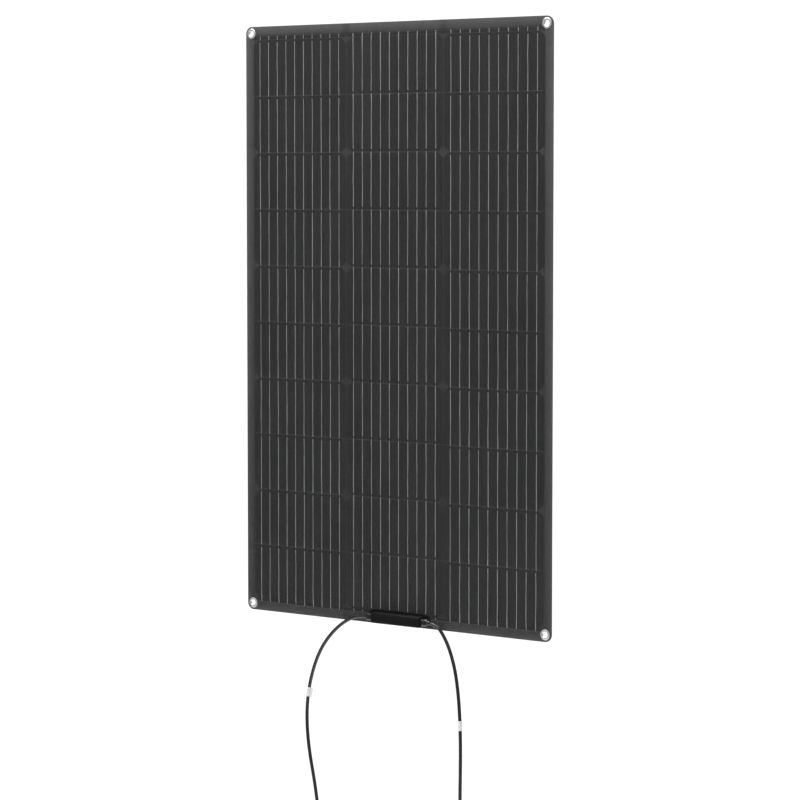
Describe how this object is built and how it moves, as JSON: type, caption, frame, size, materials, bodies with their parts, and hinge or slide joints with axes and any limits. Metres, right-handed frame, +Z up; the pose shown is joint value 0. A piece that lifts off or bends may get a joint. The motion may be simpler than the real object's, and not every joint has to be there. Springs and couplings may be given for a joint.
{
  "type": "flexible solar sheet",
  "caption": "Thin bendable photovoltaic laminate with corner eyelets, a low front junction box and two output leads with locking connectors.",
  "frame": {"origin": "middle of the two top eyelets, on the plane that their rear washers bear on", "axes": "+X across the sheet to the right seen from the cell side, +Z up the sheet, cells face -Y"},
  "size_m": [0.602, 0.0161, 1.4245],
  "materials": {
    "clear_film": "matte",
    "encapsulant": "satin",
    "silicon_cell": "satin",
    "tinned_copper": "satin",
    "black_bus": "matte",
    "core_board": "matte",
    "black_backsheet": "matte",
    "eyelet_metal": "satin",
    "box_plastic": "matte",
    "adhesive": "matte",
    "potting": "satin",
    "diode_body": "satin",
    "contact_metal": "satin",
    "bush_rubber": "matte",
    "lead_jacket": "satin",
    "white_label": "matte",
    "connector_plastic": "matte"
  },
  "bodies": {
    "top_band": {"front_film_1": "clear_film", "encapsulant_1": "encapsulant", "solar_cells_1": "silicon_cell", "cell_ribbons_1": "tinned_copper", "core_board_1": "core_board", "backsheet_1": "black_backsheet", "top_eyelets": "eyelet_metal", "top_washers": "eyelet_metal", "top_bus_ribbons": "black_bus"},
    "upper_band": {"front_film_2": "clear_film", "encapsulant_2": "encapsulant", "solar_cells_2": "silicon_cell", "cell_ribbons_2": "tinned_copper", "core_board_2": "core_board", "backsheet_2": "black_backsheet"},
    "middle_band": {"front_film_3": "clear_film", "encapsulant_3": "encapsulant", "solar_cells_3": "silicon_cell", "cell_ribbons_3": "tinned_copper", "core_board_3": "core_board", "backsheet_3": "black_backsheet"},
    "lower_band": {"front_film_4": "clear_film", "encapsulant_4": "encapsulant", "solar_cells_4": "silicon_cell", "cell_ribbons_4": "tinned_copper", "core_board_4": "core_board", "backsheet_4": "black_backsheet"},
    "bottom_band": {"front_film_5": "clear_film", "encapsulant_5": "encapsulant", "solar_cells_5": "silicon_cell", "cell_ribbons_5": "tinned_copper", "core_board_5": "core_board", "backsheet_5": "black_backsheet", "bottom_eyelets": "eyelet_metal", "bottom_washers": "eyelet_metal", "bottom_bus_ribbons": "black_bus", "box_adhesive": "adhesive", "box_base": "box_plastic", "box_lid": "box_plastic", "box_potting": "potting", "box_terminals": "contact_metal", "bypass_diodes": "diode_body", "conductor_ends": "contact_metal", "cable_clamp_left": "box_plastic", "cable_clamp_right": "box_plastic", "clamp_bushes": "bush_rubber", "lead_left": "lead_jacket", "lead_right": "lead_jacket", "label_left": "white_label", "label_right": "white_label", "plug_body": "connector_plastic", "plug_contact": "contact_metal", "plug_nut": "connector_plastic", "plug_seal": "bush_rubber", "socket_body": "connector_plastic", "socket_contact": "contact_metal", "socket_nut": "connector_plastic", "socket_seal": "bush_rubber"}
  },
  "joints": [
    {"name": "bend_1", "type": "hinge", "parent": "top_band", "child": "upper_band", "pos_m": [0, -0.00185, -0.196], "axis": [1, 0, 0], "range_deg": [-7.5, 7.5], "stiffness_Nm_per_rad": 42},
    {"name": "bend_2", "type": "hinge", "parent": "upper_band", "child": "middle_band", "pos_m": [0, -0.00185, -0.382], "axis": [1, 0, 0], "range_deg": [-7.5, 7.5], "stiffness_Nm_per_rad": 42},
    {"name": "bend_3", "type": "hinge", "parent": "middle_band", "child": "lower_band", "pos_m": [0, -0.00185, -0.568], "axis": [1, 0, 0], "range_deg": [-7.5, 7.5], "stiffness_Nm_per_rad": 42},
    {"name": "bend_4", "type": "hinge", "parent": "lower_band", "child": "bottom_band", "pos_m": [0, -0.00185, -0.754], "axis": [1, 0, 0], "range_deg": [-7.5, 7.5], "stiffness_Nm_per_rad": 42}
  ],
  "couplings": [
    {"joint": "bend_2", "follows": "bend_1", "ratio": 1},
    {"joint": "bend_3", "follows": "bend_1", "ratio": 1},
    {"joint": "bend_4", "follows": "bend_1", "ratio": 1}
  ]
}
